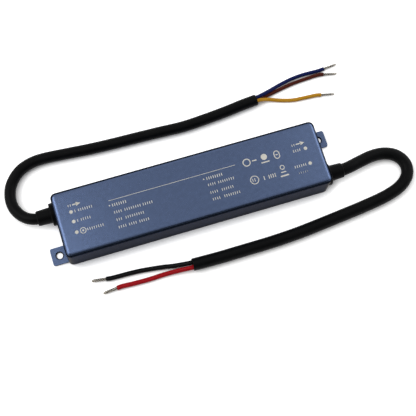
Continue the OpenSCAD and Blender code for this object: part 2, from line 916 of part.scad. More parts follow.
// An aluminium can with its crimped groove, standing on its leads' end
module capacitor_can(diameter, height) {
    groove_top = can_groove_up + can_groove_height;
    rotate_extrude() polygon([
        [0, 0],
        [diameter / 2, 0],
        [diameter / 2, can_groove_up],
        [diameter / 2 - can_groove, can_groove_up + can_groove_height / 2],
        [diameter / 2, groove_top],
        [diameter / 2, height - edge],
        [diameter / 2 - edge, height],
        [0, height]
    ]);
}

module reservoir_capacitors() {
    pitch = reservoir_diameter + reservoir_gap;
    color([0.1, 0.1, 0.12]) for (s = [-0.5, 0.5]) {
        on_board([reservoir_middle[0] - reservoir_length / 2, reservoir_middle[1] + s * pitch])
            translate([0, 0, reservoir_bead + reservoir_diameter / 2]) rotate([0, 90, 0])
                capacitor_can(reservoir_diameter, reservoir_length);
    }
}

module output_capacitors() {
    color([0.1, 0.12, 0.2]) for (place = output_can_places) {
        on_board(place) capacitor_can(output_can_diameter, output_can_height);
    }
}

module safety_capacitors() {
    color([0.15, 0.3, 0.55]) for (place = safety_places) {
        translate([place[0], place[1], 0]) rotate([0, 0, 90])
            disc_part([0, 0], safety_diameter, safety_thickness);
    }
}

module control_board() {
    color([0.05, 0.25, 0.12]) on_board(control_place)
        translate([-control_size[0] / 2, -control_size[1] / 2, 0]) cube(control_size);
}

module control_chips() {
    color(BLACK) on_board(control_place) for (x = chip_x) {
        translate([x, control_size[1] / 2, chip_up]) cube(chip_size);
    }
}

module optocouplers() {
    color([0.9, 0.9, 0.88]) for (place = opto_places) {
        on_board(place) translate([-opto_size[0] / 2, -opto_size[1] / 2, 0]) cube(opto_size);
    }
}

module output_choke_core() {
    color(FERRITE) on_board(drum_place) rotate_extrude() polygon([
        [0, 0],
        [drum_diameter / 2, 0],
        [drum_diameter / 2, drum_flange],
        [drum_waist / 2, drum_flange],
        [drum_waist / 2, drum_height - drum_flange],
        [drum_diameter / 2, drum_height - drum_flange],
        [drum_diameter / 2, drum_height],
        [0, drum_height]
    ]);
}

module output_choke_winding() {
    color(COPPER) on_board(drum_place) translate([0, 0, drum_flange]) rotate_extrude()
        translate([drum_waist / 2, 0])
            square([(drum_diameter - drum_waist) / 2 - drum_coat, drum_height - 2 * drum_flange]);
}

// Room in the casting compound: a plain block on the board, centred on its place
module block_room(place, length, width, height) {
    on_board(place) translate([-length / 2, -width / 2, 0]) cube([length, width, height]);
}

module can_room(place, diameter, height) {
    on_board(place) cylinder(d = diameter, h = height);
}

// Room for a coated disc and the space between its leads
module disc_room(place, diameter, thickness, turn) {
    on_board(place) rotate([0, 0, turn]) {
        translate([0, 0, disc_stand + diameter / 2]) rotate([0, 90, 0])
            cylinder(d = diameter, h = thickness, center = true);
        translate([-thickness / 2, -diameter / 2, 0])
            cube([thickness, diameter, disc_stand + diameter / 2]);
    }
}

// Room for a package, the space between its leads and its screw's head
module package_room(width, height, thickness, hole_up) {
    translate([-width / 2, 0, 0]) cube([width, thickness, device_stand + height]);
    translate([0, 0, device_stand + hole_up]) rotate([-90, 0, 0])
        cylinder(d = screw_head_diameter, h = thickness + screw_head_height);
}

module device_room() {
    package_room(device_width, device_height, device_thickness, device_hole_up);
}

// Room for a gland's lip and a cable's end inside the case
module gland_room(cable_diameter) {
    lip_end = wall + gland_lip_thickness;
    translate([-end_x, gland_offset, gland_height]) rotate([0, 90, 0]) rotate_extrude() polygon([
        [0, 0],
        [lip_diameter / 2, 0],
        [lip_diameter / 2, wall],
        [lip_diameter / 2 - edge, lip_end],
        [cable_diameter / 2, lip_end],
        [cable_diameter / 2, jacket_inside],
        [0, jacket_inside]
    ]);
}

module tail_room(count, diameter) {
    span = count * (diameter + ease);
    from = -end_x + jacket_inside - over;
    translate([from, gland_offset - span / 2, board_low])
        cube([mains_x + tail_reach + diameter / 2 - from, span, gland_height + diameter / 2 - board_low]);
}

module under_board() {
    translate([0, 0, plate_thickness - over])
        rounded_block([sheet_length, sheet_width, over + sheet_thickness], plate_corner);
    translate([0, 0, sheet_top - over])
        at_spacers() cylinder(d = spacer_diameter, h = spacer_height + over);
    board_block();
}

module input_rooms() {
    gland_room(mains_cable_diameter);
    tail_room(3, mains_core_diameter);
    can_room(fuse_place, fuse_diameter, fuse_height);
    disc_room(varistor_place, varistor_diameter, varistor_thickness, 0);
    disc_room(thermistor_place, thermistor_diameter, thermistor_thickness, 0);
    block_room(filter_place, filter_size[0], filter_size[1], filter_size[2]);
    choke_span = choke_diameter + 2 * choke_coat;
    block_room(choke_place, choke_span, choke_span, choke_base_height + choke_height + 2 * choke_coat);
}

module power_rooms() {
    at_primary_bar(0) translate([0, -pad_thickness, 0]) bar_block(bar_start, bar_end);
    at_primary_bar(0) bar_block(bar_start, bar_end);
    at_primary_bar(bridge_x) package_room(bridge_width, bridge_height, bridge_thickness, bridge_hole_up);
    for (x = transistor_x) {
        at_primary_bar(x) device_room();
    }
    block_room(boost_place, boost_length, boost_width, boost_height);
    pair = 2 * reservoir_diameter + reservoir_gap;
    block_room(reservoir_middle, reservoir_length, pair, reservoir_bead + reservoir_diameter);
    block_room(transformer_place, transformer_length, transformer_width, transformer_height);
}

module output_rooms() {
    at_output_end() gland_room(output_cable_diameter);
    at_output_end() tail_room(2, output_core_diameter);
    for (place = safety_places) {
        disc_room(place, safety_diameter, safety_thickness, 90);
    }
    block_room(control_place, control_size[0], control_size[1] + 2 * chip_size[1], control_size[2]);
    for (place = opto_places) {
        block_room(place, opto_size[0], opto_size[1], opto_size[2]);
    }
    at_output_bar(0) translate([0, -pad_thickness, 0]) bar_block(-output_bar_end, -output_bar_start);
    at_output_bar(0) bar_block(-output_bar_end, -output_bar_start);
    for (x = rectifier_x) {
        at_output_bar(x) device_room();
    }
    for (place = output_can_places) {
        can_room(place, output_can_diameter, output_can_height);
    }
    can_room(drum_place, drum_diameter, drum_height);
}

// The casting compound fills the case round the outlines of what it holds
module potting() {
    color([0.25, 0.25, 0.26]) difference() {
        cavity();
        translate([-end_x, -case_width / 2, -case_height])
            cube([case_length, case_width, case_height + plate_thickness]);
        under_board();
        input_rooms();
        power_rooms();
        output_rooms();
    }
}

housing();
base_plate();
base_sealant();
mains_gland();
output_gland();
mains_cable();
brown_core();
blue_core();
earth_core();
brown_strands();
blue_strands();
earth_strands();
output_cable();
red_core();
black_core();
red_strands();
black_strands();
insulating_sheet();
board_spacers();
circuit_board();
mains_tails();
output_tails();
fuse();
varistor();
inrush_thermistor();
filter_capacitor();
choke_base();
choke_core();
choke_windings();
bridge_rectifier();
primary_transistors();
device_screws();
primary_bar();
primary_pad();
boost_core();
boost_former();
boost_winding();
reservoir_capacitors();
transformer_core();
transformer_former();
transformer_winding();
safety_capacitors();
control_board();
control_chips();
optocouplers();
output_rectifiers();
output_bar();
output_pad();
output_capacitors();
output_choke_core();
output_choke_winding();
potting();
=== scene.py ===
"""LED driver: a blue case with two cables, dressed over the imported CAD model."""

import json
import math

import bmesh
import bpy
from mathutils import Matrix, Vector


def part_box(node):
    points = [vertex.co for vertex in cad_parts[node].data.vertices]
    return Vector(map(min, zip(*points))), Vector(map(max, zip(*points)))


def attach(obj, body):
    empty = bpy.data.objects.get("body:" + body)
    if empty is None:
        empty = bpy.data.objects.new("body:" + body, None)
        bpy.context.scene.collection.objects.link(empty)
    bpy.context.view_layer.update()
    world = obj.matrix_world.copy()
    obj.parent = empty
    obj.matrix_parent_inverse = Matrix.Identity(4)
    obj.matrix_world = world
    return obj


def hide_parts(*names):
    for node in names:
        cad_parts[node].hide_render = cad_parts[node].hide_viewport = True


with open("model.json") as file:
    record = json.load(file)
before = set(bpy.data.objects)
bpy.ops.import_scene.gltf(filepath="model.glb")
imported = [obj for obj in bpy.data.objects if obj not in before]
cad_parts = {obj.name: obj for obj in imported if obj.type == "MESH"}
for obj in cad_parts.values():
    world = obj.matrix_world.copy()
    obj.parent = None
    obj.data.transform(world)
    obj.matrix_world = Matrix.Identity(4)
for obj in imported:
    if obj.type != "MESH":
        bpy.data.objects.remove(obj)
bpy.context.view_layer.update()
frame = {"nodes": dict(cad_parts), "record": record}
nodes = frame["nodes"]
scene = bpy.context.scene

MM = 0.001
UP = Vector((0, 0, 1))

# Camera: worked out from the case's edges, as seen in a 416 x 416 image
IMAGE_SIZE = 416
FOCAL_PIXELS = 1000
SENSOR_WIDTH = 36
CAMERA_AZIMUTH = math.radians(-26.93)
CAMERA_ELEVATION = math.radians(74.87)
CAMERA_ROLL = math.radians(10.02)
CAMERA_DISTANCE = 744.2 * MM
CAMERA_TARGET = Vector((9.4, -11.4, 0)) * MM
CLIP_NEAR = 0.01
CLIP_FAR = 100

# The case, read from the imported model
case_high = Vector(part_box("housing")[1])
CASE_END = case_high.x
CASE_SIDE = case_high.y
TOP = case_high.z

# Cable routes: steps in mm along and across from the case end's gland axis, and the lift from the floor (0)
# to the gland's height (1)
GLAND_OFFSET = 14 * MM
GLAND_HEIGHT = 8.8 * MM
FLOOR_GAP = 0.05 * MM
MAINS_DIAMETER = 8.4 * MM
OUTPUT_DIAMETER = 9.3 * MM
MAINS_ROUTE = (
    (6, 0, 1), (-13, 0, 1), (-17, 1.1, 0.9), (-21, 3.5, 0.7), (-25, 8, 0.45), (-27.9, 14.5, 0.2),
    (-28.3, 22, 0.05), (-26.3, 29.4, 0), (-22.4, 35.3, 0), (-16.9, 40.2, 0), (-10.4, 43.2, 0),
    (-3, 44.7, 0), (5, 44.8, 0), (20, 43.7, 0), (38, 42.3, 0), (56, 41.5, 0), (74, 41, 0),
    (92, 40.4, 0), (110, 39.7, 0), (128, 40.7, 0), (146, 42.3, 0), (158, 43.8, 0), (169.5, 44.8, 0),
)
OUTPUT_ROUTE = (
    (-6, 0, 1), (13, 0, 1), (20, 0.9, 0.85), (26, 2.3, 0.6), (32, 3.6, 0.4), (39, 4.8, 0.2),
    (46, 4.8, 0.05), (52, 3.4, 0), (57.1, 0.5, 0), (60.7, -4, 0), (62.2, -9.5, 0), (60.8, -15.6, 0),
    (56.6, -20.6, 0), (50.6, -24.2, 0), (43, -26.7, 0), (34, -28.6, 0), (19, -30.6, 0),
    (4, -32.2, 0), (-12, -33.8, 0), (-33, -35.7, 0), (-54, -36.6, 0), (-75, -36.7, 0),
    (-95, -36.7, 0), (-114.5, -36.2, 0),
)

# Core routes: steps in mm from the jacket's cut end, and the height of the core's underside.
# A seat is the core's place in the cable's section, across and up from its axis.
CORE_DIAMETER = {"mains": 2.8 * MM, "output": 3.5 * MM}
CORE_EASE = 0.1 * MM
MAINS_LAY = CORE_DIAMETER["mains"] / math.sqrt(3) + CORE_EASE
OUTPUT_LAY = CORE_DIAMETER["output"] / 2 + CORE_EASE
LAY_SIDE = MAINS_LAY * math.cos(math.pi / 6)
LAY_UP = MAINS_LAY * math.sin(math.pi / 6)
CORES = {
    "brown": dict(cable="mains", seat=(0, -MAINS_LAY), route=(
        (11.5, 2.1, 0.3), (21, 3.9, 0), (31, 5.6, 0), (42, 6.5, 0), (54.2, 6.9, 0), (57.2, 6.2, 0))),
    "blue": dict(cable="mains", seat=(LAY_SIDE, LAY_UP), route=(
        (11.5, 4.1, 2.4), (22.5, 7.4, 0.8), (32.5, 9.6, 0.1), (42, 10.4, 0), (54, 10.2, 0), (59, 10.6, 0))),
    "earth": dict(cable="mains", seat=(-LAY_SIDE, LAY_UP), route=(
        (9.5, -1.8, 0.8), (18.5, -4.8, 0), (27.5, -7.2, 0), (36, -7.9, 0), (46.3, -8.5, 0), (50, -9.3, 0))),
    "red": dict(cable="output", seat=(OUTPUT_LAY, 0), route=(
        (-10, -0.9, 1), (-22, -0.4, 0), (-33, -0.7, 0), (-45, -0.4, 0), (-53.8, 0.1, 0), (-57.3, -0.2, 0))),
    "black": dict(cable="output", seat=(-OUTPUT_LAY, 0), route=(
        (-13, 3.6, 0.5), (-21, 5.1, 0.2), (-29.5, 6.3, 0), (-37.5, 7.2, 0), (-46, 7.7, 0), (-59.4, 8.1, 0),
        (-63, 8.6, 0))),
}
CORE_STUB = 2.5 * MM

# Cut ends: the edge's rounding, the wall round the hollow and the hollow's depth. EDGE_MIDDLE is how far in
# the middle of a rounded edge lies, as a share of its rounding.
JACKET_ROUNDING = 0.35 * MM
JACKET_WALL = 0.95 * MM
JACKET_RECESS = 1.6 * MM
CORE_ROUNDING = 0.15 * MM
CORE_WALL = 0.55 * MM
CORE_RECESS = 0.4 * MM
EDGE_MIDDLE = 0.3

# Bared strands: bunches twisted about a middle, which is painted shade between them, with what each bunch is
# cut short by. The shares are of the whole radius. Over the taper, the bunches draw in by TAPER_DRAW of the
# radius they lie at.
BARE_LENGTH = 10.5 * MM
STRAND_DIAMETER = {"mains": 1.65 * MM, "output": 2.35 * MM}
TURNS_PER_METRE = {"mains": 225, "output": 212}
BUNCH_CUTS = (0, 0.6 * MM, 0.36 * MM)
BUNCH_SHARE = 0.36
MIDDLE_SHARE = 0.9
STRAND_INSIDE = 1.5 * MM
STRAND_TAPER = 2.5 * MM
TAPER_DRAW = 0.4

# Fineness of the tubes
CABLE_STEP = 1.2 * MM
CORE_STEP = 0.8 * MM
BUNCH_STEPS = 60
CABLE_SIDES = 40
CORE_SIDES = 28
BUNCH_SIDES = 12
MIDDLE_SIDES = 16


def camera_axes():
    """Right, up and back of a camera that looks along +Y at azimuth 0."""
    a, e = CAMERA_AZIMUTH, CAMERA_ELEVATION
    back = Vector((math.sin(a) * math.cos(e), -math.cos(a) * math.cos(e), math.sin(e)))
    level = Vector((math.cos(a), math.sin(a), 0))
    upright = back.cross(level)
    right = math.cos(CAMERA_ROLL) * level + math.sin(CAMERA_ROLL) * upright
    up = -math.sin(CAMERA_ROLL) * level + math.cos(CAMERA_ROLL) * upright
    return right, up, back


def make_camera():
    right, up, back = camera_axes()
    data = bpy.data.cameras.new("camera")
    data.sensor_width = SENSOR_WIDTH
    data.lens = FOCAL_PIXELS / IMAGE_SIZE * SENSOR_WIDTH
    data.clip_start = CLIP_NEAR
    data.clip_end = CLIP_FAR
    camera = bpy.data.objects.new("camera", data)
    turn = Matrix((right, up, back)).transposed().to_4x4()
    camera.matrix_world = Matrix.Translation(CAMERA_TARGET + CAMERA_DISTANCE * back) @ turn
    scene.collection.objects.link(camera)
    scene.camera = camera


# Material nodes

# Grain of every material: the swing in roughness, and broad patches of colour, so many times as large as the
# fine grain, which change over this range of their noise
ROUGHNESS_SWING = 0.06
PATCH_RATIO = 14
PATCH_RANGE = (0.3, 0.7)
FINE_DETAIL = 4
PATCH_DETAIL = 2
BUMP_STRENGTH = 0.5

# The colour sockets of a Mix node, whose names are not unique
MIX_A = 6
MIX_B = 7
MIX_RESULT = 2


def new_material(name):
    """A new material, its tree and its shader."""
    material = bpy.data.materials.new(name)
    material.use_nodes = True
    tree = material.node_tree
    shader = tree.nodes["Principled BSDF"]
    return material, tree, shader


def add(tree, kind, **values):
    """A node with its properties or named inputs set."""
    node = tree.nodes.new(kind)
    for key, value in values.items():
        if hasattr(node, key):
            setattr(node, key, value)
        else:
            node.inputs[key.replace("_", " ")].default_value = value
    return node


def maths(tree, operation, first, second):
    """The result of a Math node over two sockets."""
    node = add(tree, "ShaderNodeMath", operation=operation)
    tree.links.new(first, node.inputs[0])
    tree.links.new(second, node.inputs[1])
    return node.outputs[0]


def ranged(tree, source, low, high, to_low=0, to_high=1):
    """source, from low to high, spread over to_low to to_high and held at those ends."""
    node = add(tree, "ShaderNodeMapRange", From_Min=low, From_Max=high, To_Min=to_low, To_Max=to_high)
    tree.links.new(source, node.inputs["Value"])
    return node.outputs["Result"]


def shades(tree, source, stops):
    """A colour ramp over source, with stops of (place, colour)."""
    ramp = add(tree, "ShaderNodeValToRGB")
    elements = ramp.color_ramp.elements
    while len(elements) < len(stops):
        elements.new(0.5)
    for element, (place, colour) in zip(elements, stops):
        element.position = place
        element.color = (*colour, 1)
    tree.links.new(source, ramp.inputs["Fac"])
    return ramp.outputs["Color"]


def noise(tree, scale, detail):
    """Noise over the object's own coordinates."""
    texture = add(tree, "ShaderNodeTexNoise", Scale=scale, Detail=detail)
    tree.links.new(add(tree, "ShaderNodeTexCoord").outputs["Object"], texture.inputs["Vector"])
    return texture.outputs["Fac"]


def bump(tree, shader, height, distance):
    node = add(tree, "ShaderNodeBump", Strength=BUMP_STRENGTH, Distance=distance)
    tree.links.new(height, node.inputs["Height"])
    tree.links.new(node.outputs["Normal"], shader.inputs["Normal"])


def tinted(colour, factor):
    return tuple(min(1, channel * factor) for channel in colour)


def grained(name, colour, roughness, grain, depth, metallic=0.0, specular=0.5, variation=0.12, tint=None):
    """A material whose colour and roughness vary a little with a fine grain, given as its scale per metre."""
    material, tree, shader = new_material(name)
    fine = noise(tree, grain, FINE_DETAIL)
    patches = noise(tree, grain / PATCH_RATIO, PATCH_DETAIL)
    colours = (tinted(colour, 1 - variation), tinted(colour, 1 + variation))
    tree.links.new(shades(tree, patches, list(zip(PATCH_RANGE, colours))), shader.inputs["Base Color"])
    rough = ranged(tree, fine, 0, 1, roughness - ROUGHNESS_SWING, roughness + ROUGHNESS_SWING)
    tree.links.new(rough, shader.inputs["Roughness"])
    shader.inputs["Metallic"].default_value = metallic
    shader.inputs["Specular IOR Level"].default_value = specular
    if tint:
        shader.inputs["Specular Tint"].default_value = (*tint, 1)
    bump(tree, shader, fine, depth)
    return material


def own_axes(tree, kind):
    """X, Y and Z of a point's place ("Object") or of the way it faces ("Normal"), in the object's axes."""
    split = add(tree, "ShaderNodeSeparateXYZ")
    tree.links.new(add(tree, "ShaderNodeTexCoord").outputs[kind], split.inputs[0])
    return split.outputs


def shade_coat(material, source, stops):
    """The base colour times the greys that stops give along source."""
    tree = material.node_tree
    coat = tree.nodes["Principled BSDF"].inputs["Base Color"]
    greys = [(place, (grey, grey, grey)) for place, grey in stops]
    mixed = add(tree, "ShaderNodeMix", data_type="RGBA", blend_type="MULTIPLY")
    mixed.inputs["Factor"].default_value = 1
    tree.links.new(coat.links[0].from_socket, mixed.inputs[MIX_A])
    tree.links.new(shades(tree, source, greys), mixed.inputs[MIX_B])
    tree.links.new(mixed.outputs[MIX_RESULT], coat)


# Finishes of the case and its base: a metallic coat with a painted dark reflection in a line round the
# top's edge, painted shade on the chamfers of the base, and painted shade over the base's whole coat, which
# is a darker copy of the case's. The line runs from EDGE_LOW to EDGE_HIGH below the top, and higher along the
# far wall.
CASE_BLUE = (0.082, 0.115, 0.205)
CASE_EDGE = (0.3, 0.267, 0.2)
# Painted shade: the base's coat is the case's blue times this
BASE_PAINTED_SHADE = 0.82
# Painted shade: the grey that the coat is multiplied by in the line round the top's edge and on the base's
# chamfers
PAINTED_EDGE_SHADE = 0.12
EDGE_LOW = 2.3 * MM
EDGE_HIGH = 0.75 * MM
EDGE_FADE = 0.15
FAR_LIFT = 0.42 * MM
FAR_INSET = 6 * MM
LIFT_RUN = 2 * MM

# Where a face stops being upright, and where it starts to lie flat, by the Z of its normal
UPRIGHT_FADE = (0.03, 0.14)
FLAT_FADE = (0.76, 0.82)


def paint_shade_on_slopes(material, factor):
    """Painted shade on sloping faces, such as a hole's chamfer: the base colour is darker there."""
    facing = own_axes(material.node_tree, "Normal")["Z"]
    places = (*UPRIGHT_FADE, *FLAT_FADE)
    shade_coat(material, facing, list(zip(places, (1, factor, factor, 1))))


def paint_dark_reflection_band(material, low, high, factor, lift, lift_from):
    """Painted dark reflection between two heights, which are higher by lift beyond lift_from along Y: the
    base colour is darker there.
    """
    tree = material.node_tree
    place = own_axes(tree, "Object")
    lifted = ranged(tree, place["Y"], lift_from, lift_from + LIFT_RUN, 0, lift)
    across = ranged(tree, maths(tree, "SUBTRACT", place["Z"], lifted), low, high)
    places = (0, EDGE_FADE, 1 - EDGE_FADE, 1)
    shade_coat(material, across, list(zip(places, (1, factor, factor, 1))))


CASE_GRAIN = dict(grain=5200, depth=0.012 * MM, metallic=1, variation=0.06, tint=CASE_EDGE)
case_paint = grained("case_blue", CASE_BLUE, roughness=0.25, **CASE_GRAIN)
# The base's coat: the case's blue made darker, as painted shade
base_paint_shaded = grained("base_blue_painted_shade", tinted(CASE_BLUE, BASE_PAINTED_SHADE), roughness=0.27, **CASE_GRAIN)
# Painted dark reflection in a line round the top's edge, and painted shade on the base's chamfers
paint_dark_reflection_band(case_paint, TOP - EDGE_LOW, TOP - EDGE_HIGH, PAINTED_EDGE_SHADE, FAR_LIFT, CASE_SIDE - FAR_INSET)
paint_shade_on_slopes(base_paint_shaded, PAINTED_EDGE_SHADE)

# Finishes of the cables, strands and print, and the painted shade between the strands
rubber = grained(
    "black_rubber", (0.0022, 0.0024, 0.0028), roughness=0.44, grain=1500, depth=0.012 * MM, specular=0.06,
    variation=0.2)
tinned = grained(
    "tinned_copper", (0.4, 0.37, 0.32), roughness=0.2, grain=16000, depth=0.01 * MM, metallic=1,
    variation=0.4, tint=(0.18, 0.17, 0.15))
# Painted shade: the near-black of the strands' middle stands for the shade between the bunches
strand_gap_shade = grained(
    "strand_gap_painted_shade", (0.012, 0.011, 0.009), roughness=0.7, grain=9000, depth=0.01 * MM, specular=0.1,
    variation=0.3)
ink = grained(
    "cream_print", (0.68, 0.66, 0.6), roughness=0.6, grain=4000, depth=0.004 * MM, specular=0.2,
    variation=0.06)
CORE_COLOUR = {
    "brown": (0.073, 0.0105, 0.0045),
    "blue": (0.0015, 0.0078, 0.075),
    "earth": (0.54, 0.262, 0.016),
    "red": (0.375, 0.0042, 0.0095),
    "black": (0.002, 0.0021, 0.0025),
}
CORE_ROUGHNESS = {"mains": 0.42, "output": 0.34}

# Finishes inside the case: colour, roughness, grain per metre, and 1 for metal
INNER_DEPTH = 0.02 * MM
INNER_FINISHES = {
    "sealant": ((0.45, 0.45, 0.45), 0.6, 900, 0),
    "polyester_sheet": ((0.7, 0.72, 0.7), 0.35, 500, 0),
    "nylon": ((0.75, 0.74, 0.7), 0.45, 900, 0),
    "laminate": ((0.02, 0.12, 0.05), 0.4, 1500, 0),
    "tail_insulation": ((0.12, 0.12, 0.13), 0.4, 1500, 0),
    "black_moulding": ((0.015, 0.015, 0.016), 0.5, 2200, 0),
    "disc_coating": ((0.02, 0.1, 0.35), 0.4, 1600, 0),
    "film_box": ((0.55, 0.42, 0.05), 0.42, 1200, 0),
    "ferrite": ((0.045, 0.045, 0.05), 0.55, 2400, 0),
    "winding_copper": ((0.55, 0.2, 0.06), 0.32, 2000, 1),
    "screw_steel": ((0.5, 0.5, 0.52), 0.32, 2000, 1),
    "bar_aluminium": ((0.72, 0.73, 0.75), 0.35, 1800, 1),
    "thermal_pad": ((0.3, 0.35, 0.4), 0.7, 1600, 0),
    "compound": ((0.06, 0.06, 0.065), 0.5, 900, 0),
}


def core_material(name, cable):
    return grained(
        f"{name}_insulation", CORE_COLOUR[name], CORE_ROUGHNESS[cable], grain=1800, depth=0.02 * MM,
        specular=0.12, variation=0.08)


def paint(piece, material):
    """material on all of a piece's slots."""
    slots = piece.data.materials
    if not slots:
        slots.append(material)
    for i in range(len(slots)):
        slots[i] = material


def paint_cad_nodes():
    """Each CAD node gets the material of its slot in the record. The cores' nodes are replaced by pieces."""
    finishes = {"case_blue": case_paint, "black_rubber": rubber, "tinned_copper": tinned}
    for slot, (colour, roughness, grain, metallic) in INNER_FINISHES.items():
        finishes[slot] = grained(slot, colour, roughness, grain, INNER_DEPTH, metallic)
    for part in frame["record"]["subparts"]:
        if part["material_slot"] in finishes:
            paint(nodes[part["node"]], finishes[part["material_slot"]])
    # The base plate gets the darker copy of the case's coat, which is painted shade
    paint(nodes["base_plate"], base_paint_shaded)


# Shapes

def smooth_path(points, step):
    """Points close together on one smooth curve through points."""
    path = []
    for i in range(len(points) - 1):
        p1, p2 = points[i], points[i + 1]
        p0 = points[i - 1] if i else p1 - (p2 - p1)
        p3 = points[i + 2] if i + 2 < len(points) else p2 + (p2 - p1)
        chord = (p2 - p1).length
        before, after = (p1 - p0).length, (p3 - p2).length
        pull1 = (p2 - p0) * (chord / (before + chord))
        pull2 = (p3 - p1) * (chord / (chord + after))
        count = max(1, round(chord / step))
        for j in range(count):
            t = j / count
            path.append(
                p1 * (2 * t**3 - 3 * t**2 + 1) + pull1 * (t**3 - 2 * t**2 + t)
                + p2 * (3 * t**2 - 2 * t**3) + pull2 * (t**3 - t**2)
            )
    path.append(points[-1].copy())
    return path


def side_and_up(heading):
    """A level direction across heading, and the one across both."""
    side = UP.cross(heading).normalized()
    return side, heading.cross(side)


def path_axes(path):
    """The heading at each point of path, and a sideways direction that is carried along without twisting."""
    last = len(path) - 1
    headings = [(path[min(i + 1, last)] - path[max(i - 1, 0)]).normalized() for i in range(last + 1)]
    side = side_and_up(headings[0])[0]
    sides = []
    for heading in headings:
        side = (side - heading * side.dot(heading)).normalized()
        sides.append(side)
    return headings, sides


def new_piece(name, mesh, material, smooth=True):
    """A piece on the root body, made from mesh."""
    mesh.normal_update()
    data = bpy.data.meshes.new(name)
    mesh.to_mesh(data)
    mesh.free()
    for face in data.polygons:
        face.use_smooth = smooth
    piece = bpy.data.objects.new(name, data)
    scene.collection.objects.link(piece)
    data.materials.append(material)
    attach(piece, "root")
    return piece


def add_tube(mesh, path, radius, count, cut=None):
    """A round tube along path. With cut = (rounding, wall, recess) its ends are hollow, otherwise flat."""
    headings, sides = path_axes(path)
    last = len(path) - 1
    rings = []

    def add_ring(i, r, shift=0.0):
        up = headings[i].cross(sides[i])
        middle = path[i] + headings[i] * shift
        turns = [2 * math.pi * k / count for k in range(count)]
        rings.append([
            mesh.verts.new(middle + r * (math.cos(turn) * sides[i] + math.sin(turn) * up)) for turn in turns
        ])

    # Radius and depth of the rings at an end, from the middle outwards
    end = [(radius, 0)]
    if cut:
        rounding, wall, recess = cut
        inside = radius - wall
        end = [
            (inside, recess), (inside, rounding / 2), (inside + rounding / 2, 0), (radius - rounding, 0),
            (radius - EDGE_MIDDLE * rounding, EDGE_MIDDLE * rounding), (radius, rounding),
        ]
    for r, depth in end:
        add_ring(0, r, depth)
    for i in range(1, last):
        add_ring(i, radius)
    for r, depth in reversed(end):
        add_ring(last, r, -depth)
    for a, b in zip(rings, rings[1:]):
        for k in range(count):
            n = (k + 1) % count
            mesh.faces.new((a[k], a[n], b[n], b[k]))
    mesh.faces.new(rings[0][::-1])
    mesh.faces.new(rings[-1])


# Cables and cores

def cable_points(route, end, offset, radius):
    low = radius + FLOOR_GAP
    return [
        Vector((end + x * MM, offset + y * MM, low + lift * (GLAND_HEIGHT - low))) for x, y, lift in route
    ]


def make_cable(name, node, points, diameter):
    path = smooth_path(points, CABLE_STEP)
    mesh = bmesh.new()
    add_tube(mesh, path, diameter / 2, CABLE_SIDES, (JACKET_ROUNDING, JACKET_WALL, JACKET_RECESS))
    piece = new_piece(name, mesh, rubber)
    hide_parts(node)
    return path


def make_strands(name, cable, start, heading):
    """Bunches of strands twisted about a middle in painted shade, each cut at its own length."""
    whole = STRAND_DIAMETER[cable] / 2
    bunch = BUNCH_SHARE * whole
    lay_radius = whole - bunch
    side, up = side_and_up(heading)
    mesh = bmesh.new()
    for k, short in enumerate(BUNCH_CUTS):
        cut = BARE_LENGTH - short
        path = []
        for i in range(BUNCH_STEPS + 1):
            s = -STRAND_INSIDE + (cut + STRAND_INSIDE) * i / BUNCH_STEPS
            turn = 2 * math.pi * (k / len(BUNCH_CUTS) + TURNS_PER_METRE[cable] * s)
            drawn_in = max(0, s - BARE_LENGTH + STRAND_TAPER) / STRAND_TAPER
            lay = lay_radius * (1 - TAPER_DRAW * drawn_in**2)
            path.append(start + heading * s + lay * (math.cos(turn) * side + math.sin(turn) * up))
        add_tube(mesh, path, bunch, BUNCH_SIDES)
    outside = len(mesh.faces)
    # The middle tube takes the second material, which is painted shade between the bunches
    middle = [start + heading * s for s in (-STRAND_INSIDE, 0, BARE_LENGTH - STRAND_TAPER)]
    add_tube(mesh, middle, MIDDLE_SHARE * whole, MIDDLE_SIDES)
    mesh.faces.ensure_lookup_table()
    for face in mesh.faces[outside:]:
        face.material_index = 1
    piece = new_piece(f"{name}_tip", mesh, tinned)
    piece.data.materials.append(strand_gap_shade)
    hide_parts(f"{name}_strands")
    return piece


def make_core(name, facts, cable_path):
    """A core from the jacket's cut end to its own cut, with its bared strands."""
    diameter = CORE_DIAMETER[facts["cable"]]
    radius = diameter / 2
    end = cable_path[-1]
    heading = (cable_path[-1] - cable_path[-2]).normalized()
    side, up = side_and_up(heading)
    seat = end + facts["seat"][0] * side + facts["seat"][1] * up
    points = [seat - JACKET_RECESS * heading, seat, seat + CORE_STUB * heading]
    for x, y, height in facts["route"]:
        points.append(Vector((end.x + x * MM, end.y + y * MM, radius + FLOOR_GAP + height * MM)))
    path = smooth_path(points, CORE_STEP)
    mesh = bmesh.new()
    add_tube(mesh, path, radius, CORE_SIDES, (CORE_ROUNDING, CORE_WALL, CORE_RECESS))
    piece = new_piece(f"{name}_wire", mesh, core_material(name, facts["cable"]))
    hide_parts(f"{name}_core")
    tip = make_strands(name, facts["cable"], points[-1], (points[-1] - points[-2]).normalized())


def make_cords():
    mains = cable_points(MAINS_ROUTE, -CASE_END, GLAND_OFFSET, MAINS_DIAMETER / 2)
    output = cable_points(OUTPUT_ROUTE, CASE_END, -GLAND_OFFSET, OUTPUT_DIAMETER / 2)
    paths = {
        "mains": make_cable(
            "mains_jacket", "mains_cable", mains, MAINS_DIAMETER),
        "output": make_cable(
            "output_jacket", "output_cable", output, OUTPUT_DIAMETER),
    }
    for name, facts in CORES.items():
        make_core(name, facts, paths[facts["cable"]])


# Print on the top of the case: plain ticks, bars, arrows, dots and rings. Its sizes and places are in mm.
PRINT_HEIGHT = 0.03 * MM
ARC_STEPS = 6
CIRCLE_POINTS = 4 * ARC_STEPS
TICK_PITCH = 1.6
TICK_CORNER = 0.2
TICK_ARC_STEPS = 2
ARROW_HEAD = 3.2
ARROW_HALF = 1.5
ARROW_LAP = 0.6

